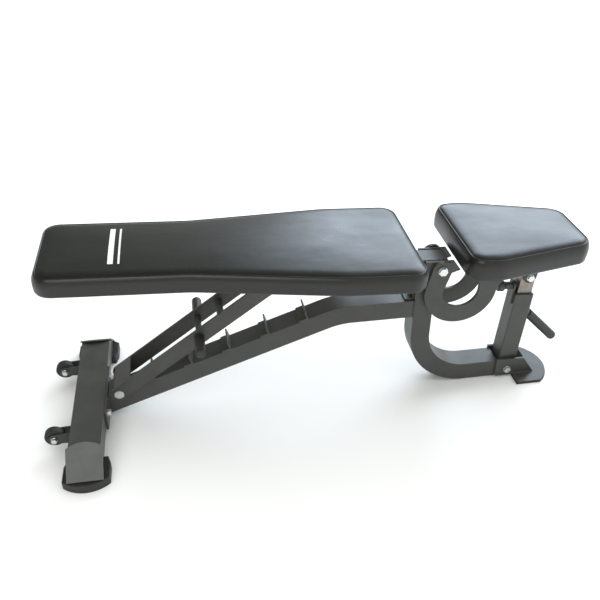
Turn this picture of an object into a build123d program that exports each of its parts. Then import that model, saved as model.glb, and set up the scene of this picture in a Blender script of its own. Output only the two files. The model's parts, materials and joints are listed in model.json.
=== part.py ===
"""Adjustable weight bench: ladder frame, tilting back pad on a propped strut, tilting seat
on a telescopic post, and two transport wheels.

Frame: +X towards the seat end, +Y across the bench, +Z up.  The origin is on the floor at
the middle of the bench's length and width.  The bench stands with its back pad in the lowest
ladder slot and its seat at its lowest, and every size is in millimetres.
"""
import os
from math import atan, cos, degrees, hypot, radians, sin, tan

from build123d import *

os.makedirs("parts", exist_ok=True)

# ---------------------------------------------------------------- driving sizes
# steel tube of the frame
tube_width = 60.0          # across the bench
tube_depth = 50.0          # in the plane of the bend
tube_wall = 2.5
plate_thickness = 6.0      # pivot plates, clevis plates, spine flange

# hex bolts
washer_thickness = 2.0
washer_ratio = 1.95        # washer radius for each millimetre of bolt radius
hex_ratio = 1.6            # half the width across flats, likewise
head_height = 6.0
nut_height = 7.0

# main pivot, common to the back and the seat
pivot_x = 308.0
pivot_z = 371.0
pivot_bolt_radius = 6.0
bolt_running_gap = 0.05    # radial play of a bolt in a moving part
side_play = 0.3            # axial play between parts that turn against each other

# rear foot
rear_tube_x = pivot_x - 888.5
rear_tube_width = 75.0
rear_tube_top_half = 206.0
rear_tube_slope = 50.0     # slant of the cut ends, from vertical
rear_pad_height = 22.0
rear_pad_width = 109.0
rear_pad_tuck = 16.0       # from the top end of the tube in to the foot's inner end
rear_pad_reach = 74.0      # from the top end of the tube out to the foot's tip
end_plate_width = 84.0
end_plate_thickness = 4.0
end_plate_arch = 13.0
rear_pad_chamfer = 22.0
rear_pad_bow = 22.0

# sloping spine and its ladder
spine_slope = degrees(atan(0.361))
spine_bend_x = pivot_x - 252.0
spine_level_z = 253.5
spine_bend_radius = 200.0
flange_half = 92.0
flange_bolt_y = 66.0
flange_bolt_z = 46.0
flange_bolt_radius = 5.0
gusset_leg = 24.0
gusset_thickness = 4.0
rung_count = 6
rung_first_x = pivot_x - 817.0
rung_pitch = 97.6          # measured along X
rung_height = 23.0
rung_leg = 25.0
rung_thickness = 4.0

# bent front tube
front_tube_x = pivot_x - 33.0
front_tube_top = pivot_z - 37.0
front_bend_radius = 140.0  # of the centreline
front_clearance = 3.0      # lowest face of the tube above the floor

# front foot
foot_back_x = pivot_x + 246.0
foot_tip_x = pivot_x + 350.0
foot_half_width = 74.0
foot_plate_thickness = 5.0
foot_rubber = 3.0

# back pad
back_slope = 2.9
back_tube_width = 50.0
back_tube_height = 30.0
back_tube_top = 20.0       # top face above the pivot
back_tube_head = 905.0     # from the pivot to the capped head end
back_tube_tail = 15.0
strap_thickness = 4.0
back_pad_thickness = 50.0
board_thickness = 12.0
board_inset = 4.0
strap_places = (140.0, 470.0, 800.0)
strap_length = 200.0
strap_width = 40.0
screw_reach = 80.0
screw_radius = 4.0
screw_head_height = 4.0
screw_head_radius = 7.0
back_pad_near_end = 75.0
back_pad_head_end = 948.0
back_half_width_head = 129.0
back_half_width_hip = 174.0
back_shoulder = 610.0      # where the pad starts to widen
back_hip = 270.0           # where it has its full width
pad_edge_radius = 14.0

# prop strut
strut_top_drop = 2.0       # strut pivot above the main pivot at rest
strut_reach = 420.0        # from the main pivot back to the strut pivot
rail_width = 40.0
rail_thickness = 6.0
rail_inner_y = 41.0
ear_thickness = 6.0
ear_radius = 19.0
foot_pin_radius = 8.0
foot_pin_play = 0.4
handle_along = 261.0       # from the foot pin to the handle bar
handle_half_span = 116.0
handle_bar_radius = 8.0
grip_radius = 12.5
grip_end = 6.0             # rounding and wall of a grip's closed end
cross_bar_along = 330.0
cross_bar_radius = 9.0

# seat
seat_slope = 2.0
seat_pad_thickness = 57.0
seat_underside = 34.0      # above the pivot, square to the seat
seat_back_end = 25.0
seat_front_end = 355.0
seat_half_width = 156.0
seat_wide_at = 100.0
seat_tip_half_width = 95.0
arm_thickness = 8.0
arm_gap = 2.3              # from the pivot plate to the arm
arm_ring_x = pivot_x + 54.0
arm_ring_z = 308.0
arm_ring_outer = 94.0
arm_ring_inner = 47.0
arm_eye_radius = 25.0
base_plate_thickness = 5.0
base_plate_back = 82.0
base_plate_front = 275.0
base_plate_half = 62.0
seat_screw_x = (100.0, 255.0)
seat_screw_y = 54.0

# fork at the post's foot
clevis_spacer = 5.0        # from the post to each ear
clevis_back = 4.0          # wall across the back of the fork
clevis_back_gap = 4.0      # from that wall to the post

# telescopic post
post_foot_x = pivot_x + 227.0
post_foot_z = 26.0
post_top_x = pivot_x + 245.0
post_top_z = 316.0
post_size = 50.0
post_wall = 4.0
inner_size = 40.0
inner_wall = 3.0
post_outer_top = 237.0     # along the post from its foot bolt
inner_bottom = 80.0
post_bolt_radius = 5.0
link_slot_play = 4.0       # the slot lets the link bolt run this far each way
link_slot_gap = 0.6        # across the slot, on each side of the bolt
link_ear_gap = 1.5         # from the inner tube to the bracket's ears
link_ear_thickness = 5.0

# pull pin
pin_height = 252.0         # along the post from its foot bolt
pin_radius = 4.5
pin_tip_gap = 0.4
pin_travel = 10.0
knob_radius = 15.0
knob_length = 18.0
lug_thickness = 5.0
housing_radius = 10.0
housing_length = 20.0

# lift handle on the post
lift_start_ahead = 3.0     # along X, from the post's front face at its foot
lift_start_z = 204.0
lift_run = 109.0
lift_drop = 109.0
lift_bar_radius = 9.5
lift_grip_radius = 12.5
lift_grip_start = 26.0

# transport wheels
wheel_x = pivot_x - 967.0
wheel_y = 128.0
wheel_z = 46.0
wheel_radius = 24.0
hub_radius = 14.0
wheel_width = 20.0
wheel_bolt_radius = 4.0
bracket_thickness = 3.0
bracket_gap = 1.0          # from the wheel to each cheek

# ---------------------------------------------------------------- derived sizes
rear_tube_half = rear_tube_width / 2
rear_tube_bottom = rear_pad_height
rear_tube_top = rear_pad_height + tube_depth
rear_face_x = rear_tube_x + rear_tube_half
half_width = tube_width / 2
plate_outer_y = half_width + plate_thickness
arm_inner_y = plate_outer_y + arm_gap
arm_outer_y = arm_inner_y + arm_thickness
rail_outer_y = rail_inner_y + rail_thickness
ear_outer_y = back_tube_width / 2 + ear_thickness
bracket_inner = wheel_width / 2 + bracket_gap
bracket_outer = bracket_inner + bracket_thickness
link_inner_y = inner_size / 2 + link_ear_gap
link_outer_y = link_inner_y + link_ear_thickness
rear_pad_inner = rear_tube_top_half - rear_pad_tuck
rear_pad_outer = rear_tube_top_half + rear_pad_reach
clevis_inner_y = post_size / 2 + clevis_spacer
clevis_outer_y = clevis_inner_y + plate_thickness
front_tail_x = post_foot_x - post_size / 2 - clevis_back_gap - clevis_back
handle_start = (post_foot_x + post_size / 2 + lift_start_ahead, lift_start_z)
handle_end = (handle_start[0] + lift_run, lift_start_z - lift_drop)
lift_length = hypot(lift_run, lift_drop)
slope_rise = tan(radians(spine_slope))
spine_cos = cos(radians(spine_slope))
spine_sin = sin(radians(spine_slope))
back_tube_bottom = back_tube_top - back_tube_height
back_underside = back_tube_top + strap_thickness
foot_top = foot_rubber + foot_plate_thickness
post_axis_tilt = degrees(atan((post_top_x - post_foot_x) / (post_top_z - post_foot_z)))
post_length = hypot(post_top_x - post_foot_x, post_top_z - post_foot_z)
strut_top_x = pivot_x - strut_reach
strut_top_z = pivot_z + strut_top_drop


# ---------------------------------------------------------------- shared makers
def save(part, name):
    export_step(part, "parts/" + name + ".step")


def upright(sketch, y0, y1):
    """A sketch drawn in (X, Z), made solid from y0 to y1."""
    return extrude(Plane.XZ.offset(-y1) * sketch, amount=y1 - y0, dir=(0, -1, 0))


def flat(sketch, z0, z1):
    """A sketch drawn in (X, Y), made solid from z0 to z1."""
    return extrude(Plane.XY.offset(z0) * sketch, amount=z1 - z0, dir=(0, 0, 1))


def group(pieces):
    """Several separate solids as one part."""
    return Part() + pieces


def block(x0, x1, y0, y1, z0, z1):
    return Pos((x0 + x1) / 2, (y0 + y1) / 2, (z0 + z1) / 2) * Box(x1 - x0, y1 - y0, z1 - z0)


def bar_y(x, z, radius, y0, y1):
    """A round bar along Y."""
    return Pos(x, (y0 + y1) / 2, z) * Rot(90, 0, 0) * Cylinder(radius, y1 - y0)


def bar_x(y, z, radius, x0, x1):
    return Pos((x0 + x1) / 2, y, z) * Rot(0, 90, 0) * Cylinder(radius, x1 - x0)


def hexagon_y(x, z, across, y0, y1):
    return upright(Pos(x, z) * RegularPolygon(across / 2, 6, major_radius=False), y0, y1)


def turned(part, x, z, angle):
    """Turn about a Y line through (x, z); positive takes +X down."""
    return Pos(x, 0, z) * Rot(0, angle, 0) * Pos(-x, 0, -z) * part


def bolt_y(x, z, radius, y_head, y_nut):
    """A hex bolt with washers under its head, on the -Y side, and under its nut."""
    across = 2 * hex_ratio * radius
    head_inner = y_head - washer_thickness
    nut_inner = y_nut + washer_thickness
    bolt = bar_y(x, z, radius, head_inner - head_height, nut_inner + nut_height + 1)
    bolt += bar_y(x, z, washer_ratio * radius, head_inner, y_head)
    bolt += hexagon_y(x, z, across, head_inner - head_height, head_inner)
    bolt += bar_y(x, z, washer_ratio * radius, y_nut, nut_inner)
    bolt += hexagon_y(x, z, across, nut_inner, nut_inner + nut_height)
    return bolt


def bent_tube(path, width, depth, wall):
    """A hollow rectangular tube whose centreline is a path drawn in (X, Z)."""
    outer = upright(trace(path, depth), -width / 2, width / 2)
    bore = upright(trace(path, depth - 2 * wall), -width / 2 + wall, width / 2 - wall)
    return outer - bore


# ---------------------------------------------------------------- rear foot
def rear_cross_tube():
    reach = tube_depth * tan(radians(rear_tube_slope))
    long_half = rear_tube_top_half + reach
    outline = Polygon(
        (-long_half, rear_tube_bottom),
        (long_half, rear_tube_bottom),
        (rear_tube_top_half, rear_tube_top),
        (-rear_tube_top_half, rear_tube_top),
        align=None,
    )
    start = Plane.YZ.offset(rear_tube_x - rear_tube_half)
    solid = extrude(start * outline, amount=rear_tube_width)
    hollow = block(
        rear_tube_x - rear_tube_half + tube_wall,
        rear_tube_x + rear_tube_half - tube_wall,
        -long_half,
        long_half,
        rear_tube_bottom + tube_wall,
        rear_tube_top - tube_wall,
    )
    return solid - hollow


def rear_end_plate(side):
    """Flat cap welded over the slanted end of the cross tube; its top edge is arched."""
    reach = tube_depth * tan(radians(rear_tube_slope))
    slant = hypot(tube_depth, reach)
    half = end_plate_width / 2
    rise = Line((-half, 0), (half, 0))
    right = Line((half, 0), (half, slant))
    arch = ThreePointArc((half, slant), (0, slant + end_plate_arch), (-half, slant))
    left = Line((-half, slant), (-half, 0))
    face = make_face([rise, right, arch, left])
    plane = Plane(
        origin=(rear_tube_x, -rear_tube_top_half - reach, rear_tube_bottom),
        x_dir=(1, 0, 0),
        z_dir=(0, -tube_depth, reach),
    )
    plate = extrude(plane * face, amount=end_plate_thickness)
    plate = split(plate, Plane.XY.offset(rear_tube_bottom), keep=Keep.TOP)
    return plate if side < 0 else mirror(plate, Plane.XZ)


def rear_foot(side):
    """Moulded rubber pad under the end of the cross tube."""
    half = rear_pad_width / 2
    bow_y = rear_pad_bow - rear_pad_outer
    edges = [
        Line((-half + 7, -rear_pad_inner), (half - 7, -rear_pad_inner)),
        Line((half - 7, -rear_pad_inner), (half, -rear_pad_inner - rear_pad_chamfer)),
        Line((half, -rear_pad_inner - rear_pad_chamfer), (half, bow_y)),
        ThreePointArc((half, bow_y), (0, -rear_pad_outer), (-half, bow_y)),
        Line((-half, bow_y), (-half, -rear_pad_inner - rear_pad_chamfer)),
        Line((-half, -rear_pad_inner - rear_pad_chamfer), (-half + 7, -rear_pad_inner)),
    ]
    pad = flat(Pos(rear_tube_x, 0) * make_face(edges), 0, rear_pad_height)
    pad = chamfer_top(pad, rear_pad_height, 2.0)
    return pad if side < 0 else mirror(pad, Plane.XZ)


def chamfer_top(part, height, size):
    """Chamfer the edges that lie at one height."""
    rim = part.edges().filter_by_position(Axis.Z, height - 0.01, height + 0.01)
    return chamfer(rim, size)


# ---------------------------------------------------------------- spine and ladder
def spine_centre_z(x):
    return spine_level_z - slope_rise * (spine_bend_x - x)


def spine_top_point(x):
    """Point of the spine's sloping top face at this X."""
    return (x, spine_centre_z(x) + tube_depth / 2 / spine_cos)


def spine_tube():
    start_x = rear_face_x - 60
    path = FilletPolyline(
        (start_x, spine_centre_z(start_x)),
        (spine_bend_x, spine_level_z),
        (front_tube_x - tube_depth / 2, spine_level_z),
        radius=spine_bend_radius,
    )
    tube = bent_tube(path, tube_width, tube_depth, tube_wall)
    return split(tube, Plane.YZ.offset(rear_face_x + plate_thickness), keep=Keep.TOP)


def spine_flange():
    """Plate welded to the spine's lower end and bolted to the cross tube."""
    flange = block(
        rear_face_x, rear_face_x + plate_thickness, -flange_half, flange_half,
        rear_tube_bottom - 8, rear_tube_top - 2,
    )
    for y in (-flange_bolt_y, flange_bolt_y):
        flange -= bar_x(y, flange_bolt_z, flange_bolt_radius, rear_face_x - 1, rear_face_x + 10)
    return flange


def flange_bolts():
    bolts = []
    for y in (-flange_bolt_y, flange_bolt_y):
        outer = rear_face_x + plate_thickness
        bolt = bar_x(y, flange_bolt_z, flange_bolt_radius, rear_face_x, outer)
        bolt += bar_x(y, flange_bolt_z, washer_ratio * flange_bolt_radius, outer, outer + washer_thickness)
        head = RegularPolygon(hex_ratio * flange_bolt_radius, 6, major_radius=False)
        plane = Plane(
            origin=(outer + washer_thickness, y, flange_bolt_z), x_dir=(0, 1, 0), z_dir=(1, 0, 0)
        )
        bolt += extrude(plane * head, amount=head_height)
        bolts.append(bolt)
    return group(bolts)


def ladder_rungs():
    """Angle irons welded across the spine; the strut's foot pin drops in front of each."""
    rungs = []
    profile = Polygon(
        (0, 0),
        (-rung_leg, 0),
        (-rung_leg, rung_thickness),
        (-rung_thickness, rung_thickness),
        (-rung_thickness, rung_height),
        (0, rung_height),
        align=None,
    )
    profile = fillet(profile.vertices().sort_by(Axis.Y)[-2:], 1.0)
    for index in range(rung_count):
        x, z = spine_top_point(rung_first_x + index * rung_pitch)
        rung = upright(profile, -half_width, half_width)
        rungs.append(Pos(x, 0, z) * Rot(0, -spine_slope, 0) * rung)
    return group(rungs)


# ---------------------------------------------------------------- front tube
def front_tube():
    """Upright that sweeps forward along the floor to the seat post."""
    axis_z = front_clearance + tube_depth / 2
    path = FilletPolyline(
        (front_tube_x, front_tube_top),
        (front_tube_x, axis_z),
        (front_tail_x, axis_z),
        radius=front_bend_radius,
    )
    return bent_tube(path, tube_width, tube_depth, tube_wall)


def front_tube_cap():
    half = tube_depth / 2
    cap = block(
        front_tube_x - half, front_tube_x + half, -half_width, half_width,
        front_tube_top, front_tube_top + 2,
    )
    return cap + block(
        front_tube_x - half + tube_wall, front_tube_x + half - tube_wall,
        -half_width + tube_wall, half_width - tube_wall, front_tube_top - 12, front_tube_top,
    )


def spine_gusset():
    """Small angle that stiffens the corner between the spine and the upright."""
    corner_x = front_tube_x - tube_depth / 2
    corner_z = spine_level_z + tube_depth / 2
    leg = gusset_leg
    thickness = gusset_thickness
    profile = Polygon(
        (corner_x, corner_z),
        (corner_x, corner_z + leg),
        (corner_x - thickness, corner_z + leg),
        (corner_x - thickness, corner_z + thickness),
        (corner_x - leg, corner_z + thickness),
        (corner_x - leg, corner_z),
        align=None,
    )
    return upright(profile, -half_width + 6, half_width - 6)


def pivot_plate(side):
    """Side plate that carries the main pivot above the upright."""
    outline = Polygon(
        (pivot_x - 41, front_tube_top - 34),
        (pivot_x - 8, front_tube_top - 34),
        (pivot_x - 8, front_tube_top - 6),
        (pivot_x + 24, pivot_z - 16),
        (pivot_x + 50, pivot_z - 7),
        (pivot_x + 31, pivot_z + 20),
        (pivot_x - 41, pivot_z + 22),
        align=None,
    )
    plate = upright(outline, -plate_outer_y, -half_width)
    plate -= bar_y(pivot_x, pivot_z, pivot_bolt_radius, -plate_outer_y - 1, -half_width + 1)
    return plate if side < 0 else mirror(plate, Plane.XZ)


def main_pivot_bolt():
    reach = arm_outer_y + side_play
    return bolt_y(pivot_x, pivot_z, pivot_bolt_radius, -reach, reach)


def main_pivot_spacers():
    """Washers between the pivot plates and the seat arms."""
    spacers = []
    for side in (-1, 1):
        inner = side * plate_outer_y
        outer = side * (arm_inner_y - side_play)
        y0, y1 = min(inner, outer), max(inner, outer)
        washer = bar_y(pivot_x, pivot_z, 14, y0, y1)
        spacers.append(washer - bar_y(pivot_x, pivot_z, pivot_bolt_radius, y0 - 1, y1 + 1))
    return group(spacers)


# ---------------------------------------------------------------- front foot
def post_clevis():
    """Two ears and a back plate that hold the foot of the seat post."""
    back_x = front_tail_x
    front_x = pivot_x + 307
    ear = Polygon(
        (back_x, foot_top),
        (front_x, foot_top),
        (front_x - 35, foot_top + 50),
        (back_x, foot_top + 52),
        align=None,
    )
    clevis = upright(ear, -clevis_outer_y, -clevis_inner_y)
    clevis += upright(ear, clevis_inner_y, clevis_outer_y)
    clevis += block(back_x, back_x + clevis_back, -clevis_inner_y, clevis_inner_y, foot_top, foot_top + 45)
    hole = bar_y(post_foot_x, post_foot_z, post_bolt_radius, -clevis_outer_y - 1, clevis_outer_y + 1)
    return clevis - hole


def foot_outline(grow):
    half = foot_half_width + grow
    back = foot_back_x - grow
    straight = foot_tip_x - 38
    tip = foot_tip_x + grow
    edges = [
        Line((back, half), (back, -half)),
        Line((back, -half), (straight, -half)),
        ThreePointArc((straight, -half), (tip, 0), (straight, half)),
        Line((straight, half), (back, half)),
    ]
    return make_face(edges)


def front_foot_plate():
    return flat(foot_outline(0), foot_rubber, foot_top)


def front_foot_pad():
    return flat(foot_outline(1.5), 0, foot_rubber)


def clevis_bolt():
    return bolt_y(post_foot_x, post_foot_z, post_bolt_radius, -clevis_outer_y, clevis_outer_y)


def clevis_spacers():
    spacers = []
    for side in (-1, 1):
        inner = side * (post_size / 2 + side_play)
        outer = side * clevis_inner_y
        y0, y1 = min(inner, outer), max(inner, outer)
        ring = bar_y(post_foot_x, post_foot_z, 9, y0, y1)
        spacers.append(ring - bar_y(post_foot_x, post_foot_z, post_bolt_radius, y0 - 1, y1 + 1))
    return group(spacers)


# ---------------------------------------------------------------- wheels
def wheel_bracket(side):
    centre = side * wheel_y
    back_x = rear_tube_x - rear_tube_half
    cheek = Polygon(
        (back_x, wheel_z - 15),
        (back_x, wheel_z + 15),
        (wheel_x, wheel_z + 13),
        (wheel_x, wheel_z - 13),
        align=None,
    )
    cheek += Pos(wheel_x, wheel_z) * Circle(13)
    bracket = upright(cheek, centre - bracket_outer, centre - bracket_inner)
    bracket += upright(cheek, centre + bracket_inner, centre + bracket_outer)
    bracket += block(
        back_x - bracket_thickness, back_x, centre - bracket_outer, centre + bracket_outer,
        wheel_z - 15, wheel_z + 15,
    )
    y0 = centre - bracket_outer - 1
    y1 = centre + bracket_outer + 1
    hole = bar_y(wheel_x, wheel_z, wheel_bolt_radius, y0, y1)
    return bracket - hole


def wheel_tyre(side):
    centre = side * wheel_y
    half = wheel_width / 2
    tyre = bar_y(wheel_x, wheel_z, wheel_radius, centre - half, centre + half)
    tyre = fillet(tyre.edges().filter_by(GeomType.CIRCLE), 4.0)
    return tyre - bar_y(wheel_x, wheel_z, hub_radius, centre - half - 1, centre + half + 1)


def wheel_hub(side):
    centre = side * wheel_y
    half = wheel_width / 2
    hub = bar_y(wheel_x, wheel_z, hub_radius, centre - half + 1.5, centre + half - 1.5)
    hub += bar_y(wheel_x, wheel_z, 7, centre - half, centre + half)
    bore = wheel_bolt_radius + bolt_running_gap
    return hub - bar_y(wheel_x, wheel_z, bore, centre - half - 1, centre + half + 1)


def wheel_bolts():
    bolts = []
    for side in (-1, 1):
        centre = side * wheel_y
        bolts.append(
            bolt_y(wheel_x, wheel_z, wheel_bolt_radius, centre - bracket_outer, centre + bracket_outer)
        )
    return group(bolts)


# ---------------------------------------------------------------- back pad
def on_back(part):
    """Place a part drawn level, with the pivot as its datum, at the back's rest slope."""
    return turned(part, pivot_x, pivot_z, back_slope)


def back_tube():
    half_w = back_tube_width / 2
    z0 = pivot_z + back_tube_bottom
    z1 = pivot_z + back_tube_top
    x0 = pivot_x - back_tube_head
    x1 = pivot_x + back_tube_tail
    tube = block(x0, x1, -half_w, half_w, z0, z1)
    tube -= block(
        x0 - 1, x1 + 1, -half_w + tube_wall, half_w - tube_wall, z0 + tube_wall, z1 - tube_wall
    )
    boss = bar_y(pivot_x, pivot_z, 12, -half_width + side_play, half_width - side_play)
    bore = bar_y(pivot_x, pivot_z, pivot_bolt_radius + bolt_running_gap, -half_width, half_width)
    return on_back(tube + boss - bore)


def back_tube_caps():
    half_w = back_tube_width / 2
    z0 = pivot_z + back_tube_bottom
    z1 = pivot_z + back_tube_top
    caps = []
    for x0, x1, plug in (
        (pivot_x - back_tube_head - 2, pivot_x - back_tube_head, 12),
        (pivot_x + back_tube_tail, pivot_x + back_tube_tail + 2, -1.5),
    ):
        cap = block(x0, x1, -half_w, half_w, z0, z1)
        start, end = (x1, x1 + plug) if plug > 0 else (x0 + plug, x0)
        cap += block(
            start, end, -half_w + tube_wall, half_w - tube_wall, z0 + tube_wall, z1 - tube_wall
        )
        caps.append(cap)
    return on_back(group(caps))


def back_straps():
    """Flat bars across the tube that the board is screwed to."""
    z0 = pivot_z + back_tube_top
    straps = []
    for place in strap_places:
        x = pivot_x - place
        strap = block(
            x - strap_width / 2, x + strap_width / 2, -strap_length / 2, strap_length / 2,
            z0, z0 + strap_thickness,
        )
        for side in (-1, 1):
            strap -= Pos(x, side * screw_reach, z0) * Cylinder(screw_radius, 20)
        straps.append(strap)
    return on_back(group(straps))


def screw_up(x, y, z, through):
    """A pan-head screw driven up through a plate; z is the face that its head bears on."""
    head = Pos(x, y, z - screw_head_height / 2) * Cylinder(screw_head_radius, screw_head_height)
    return head + Pos(x, y, z + through / 2) * Cylinder(screw_radius, through)


def back_screws():
    z = pivot_z + back_tube_top
    places = [(pivot_x - place, side * screw_reach) for place in strap_places for side in (-1, 1)]
    return on_back(group([screw_up(x, y, z, strap_thickness) for x, y in places]))


def back_outline(inset):
    """Plan of the back pad: narrow at the head, wider at the hips."""
    head = pivot_x - back_pad_head_end + inset
    tail = pivot_x - back_pad_near_end - inset
    shoulder = pivot_x - back_shoulder
    hip = pivot_x - back_hip
    narrow = back_half_width_head - inset
    wide = back_half_width_hip - inset
    outline = Polygon(
        (head, -narrow), (shoulder, -narrow - 1), (hip, -wide), (tail, -wide),
        (tail, wide), (hip, wide), (shoulder, narrow + 1), (head, narrow),
        align=None,
    )
    ends = outline.vertices().filter_by_position(Axis.X, tail - 1, tail + 1)
    outline = fillet(ends, 42 - inset)
    ends = outline.vertices().filter_by_position(Axis.X, head - 1, head + 1)
    outline = fillet(ends, 42 - inset)
    bends = outline.vertices().filter_by_position(Axis.X, shoulder - 1, shoulder + 1)
    outline = fillet(bends, 300)
    bends = outline.vertices().filter_by_position(Axis.X, hip - 1, hip + 1)
    return fillet(bends, 300)


def padded_top(outline, z0, z1):
    """A cushion with its upper rim rounded."""
    cushion = flat(outline, z0, z1)
    rim = cushion.edges().filter_by_position(Axis.Z, z1 - 0.01, z1 + 0.01)
    return fillet(rim, pad_edge_radius)


def back_board():
    z0 = pivot_z + back_underside
    return on_back(flat(back_outline(board_inset), z0, z0 + board_thickness))


def back_cushion():
    z0 = pivot_z + back_underside
    cushion = padded_top(back_outline(0), z0, z0 + back_pad_thickness)
    return on_back(cushion - flat(back_outline(board_inset), z0 - 1, z0 + board_thickness))


# ---------------------------------------------------------------- strut
def strut_ears():
    """Plates under the back tube that hold the strut's pivot."""
    shape = Pos(strut_top_x, strut_top_z) * Circle(ear_radius)
    shape += Polygon(
        (strut_top_x - 34, strut_top_z + 38),
        (strut_top_x - ear_radius, strut_top_z),
        (strut_top_x + ear_radius, strut_top_z),
        (strut_top_x + 34, strut_top_z + 34),
        align=None,
    )
    ears = []
    for side in (-1, 1):
        y0, y1 = sorted((side * back_tube_width / 2, side * ear_outer_y))
        ear = upright(shape, y0, y1)
        ears.append(ear - bar_y(strut_top_x, strut_top_z, pivot_bolt_radius, y0 - 1, y1 + 1))
    return group(ears)


def strut_pivot_bolt():
    reach = rail_outer_y + side_play
    bolt = bolt_y(strut_top_x, strut_top_z, pivot_bolt_radius, -reach, reach)
    for side in (-1, 1):
        y0, y1 = sorted((side * ear_outer_y, side * (rail_inner_y - side_play)))
        bolt += bar_y(strut_top_x, strut_top_z, 11, y0, y1)
    return bolt


def strut_foot():
    """Centre of the foot pin, resting on the spine in front of the first rung."""
    along = foot_pin_radius + foot_pin_play
    x, z = spine_top_point(rung_first_x)
    foot_x = x + along * spine_cos - along * spine_sin
    foot_z = z + along * spine_sin + along * spine_cos
    return foot_x, foot_z


foot_x, foot_z = strut_foot()
strut_length = hypot(strut_top_x - foot_x, strut_top_z - foot_z)
strut_angle = degrees(atan((strut_top_z - foot_z) / (strut_top_x - foot_x)))


def on_strut(part):
    """Place a part drawn level along +X from the foot pin at the strut's rest slope."""
    return Pos(foot_x, 0, foot_z) * Rot(0, -strut_angle, 0) * part


def strut_rail(side):
    shape = Pos(strut_length / 2, 0) * SlotOverall(strut_length + rail_width, rail_width)
    y0, y1 = sorted((side * rail_inner_y, side * rail_outer_y))
    rail = upright(shape, y0, y1)
    rail -= bar_y(strut_length, 0, pivot_bolt_radius + bolt_running_gap, y0 - 1, y1 + 1)
    rail -= bar_y(0, 0, foot_pin_radius, y0 - 1, y1 + 1)
    rail -= bar_y(handle_along, 0, handle_bar_radius, y0 - 1, y1 + 1)
    return on_strut(rail)


def strut_foot_plate():
    """Plate welded between the rails above the foot pin."""
    half = rail_width / 2
    return on_strut(block(0, 52, -rail_inner_y, rail_inner_y, half - 4, half))


def strut_foot_pin():
    reach = rail_outer_y + 1.5
    pin = bar_y(0, 0, foot_pin_radius, -reach, reach)
    for side in (-1, 1):
        y0, y1 = sorted((side * rail_outer_y, side * (rail_outer_y + 3)))
        pin += bar_y(0, 0, 12, y0, y1)
    return on_strut(pin)


def strut_cross_bar():
    return on_strut(bar_y(cross_bar_along, 0, cross_bar_radius, -rail_inner_y, rail_inner_y))


def strut_handle_bar():
    reach = handle_half_span - grip_end
    return on_strut(bar_y(handle_along, 0, handle_bar_radius, -reach, reach))


def strut_grip(side):
    inner = rail_outer_y + 0.5
    outer = handle_half_span
    y0, y1 = sorted((side * inner, side * outer))
    grip = bar_y(handle_along, 0, grip_radius, y0, y1)
    rims = grip.edges().filter_by(GeomType.CIRCLE).sort_by(Axis.Y)
    grip = fillet(rims[-1 if side > 0 else 0], grip_end)
    y2, y3 = sorted((side * (inner - 1), side * (outer - grip_end)))
    grip -= bar_y(handle_along, 0, handle_bar_radius, y2, y3)
    return on_strut(grip)


# ---------------------------------------------------------------- seat
def on_seat(part):
    return turned(part, pivot_x, pivot_z, seat_slope)


def seat_arm(side):
    """Hook-shaped plate from the pivot, round under the seat and up to its base plate."""
    ring = Pos(arm_ring_x, arm_ring_z) * (Circle(arm_ring_outer) - Circle(arm_ring_inner))
    below = Pos(arm_ring_x, arm_ring_z - 100) * Rectangle(300, 200)
    hook = ring & below
    inner_x = arm_ring_x - arm_ring_inner
    outer_x = arm_ring_x - arm_ring_outer
    eye = Pos(pivot_x, pivot_z) * Circle(arm_eye_radius)
    back_leg = Polygon(
        (outer_x, arm_ring_z),
        (inner_x, arm_ring_z),
        (pivot_x + arm_eye_radius * 0.99, pivot_z - 4),
        (pivot_x, pivot_z + 2),
        (pivot_x - arm_eye_radius * 0.96, pivot_z + 7),
        align=None,
    )
    top_z = pivot_z + seat_underside - base_plate_thickness
    rise = tan(radians(seat_slope))
    front_leg = Polygon(
        (arm_ring_x + arm_ring_inner, arm_ring_z),
        (arm_ring_x + arm_ring_outer, arm_ring_z),
        (arm_ring_x + arm_ring_outer + 42, top_z - 22 - rise * 190),
        (arm_ring_x + arm_ring_outer + 70, top_z - rise * 218),
        (arm_ring_x + 30, top_z - rise * 84),
        (arm_ring_x + arm_ring_inner, top_z - 30),
        align=None,
    )
    arm = upright(hook + back_leg + eye + front_leg, -arm_outer_y, -arm_inner_y)
    trim = on_seat(block(pivot_x, pivot_x + 300, -60, 0, top_z, top_z + 20))
    bore_radius = pivot_bolt_radius + bolt_running_gap
    bore = bar_y(pivot_x, pivot_z, bore_radius, -arm_outer_y - 1, -arm_inner_y + 1)
    arm = arm - trim - bore
    return arm if side < 0 else mirror(arm, Plane.XZ)


def seat_base_plate():
    z1 = pivot_z + seat_underside
    z0 = z1 - base_plate_thickness
    plate = block(
        pivot_x + base_plate_back, pivot_x + base_plate_front,
        -base_plate_half, base_plate_half, z0, z1,
    )
    for x in seat_screw_x:
        for side in (-1, 1):
            plate -= Pos(pivot_x + x, side * seat_screw_y, z0) * Cylinder(screw_radius, 20)
    return on_seat(plate)


def seat_screws():
    z = pivot_z + seat_underside - base_plate_thickness
    places = [(pivot_x + x, side * seat_screw_y) for x in seat_screw_x for side in (-1, 1)]
    return on_seat(group([screw_up(x, y, z, base_plate_thickness) for x, y in places]))


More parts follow.
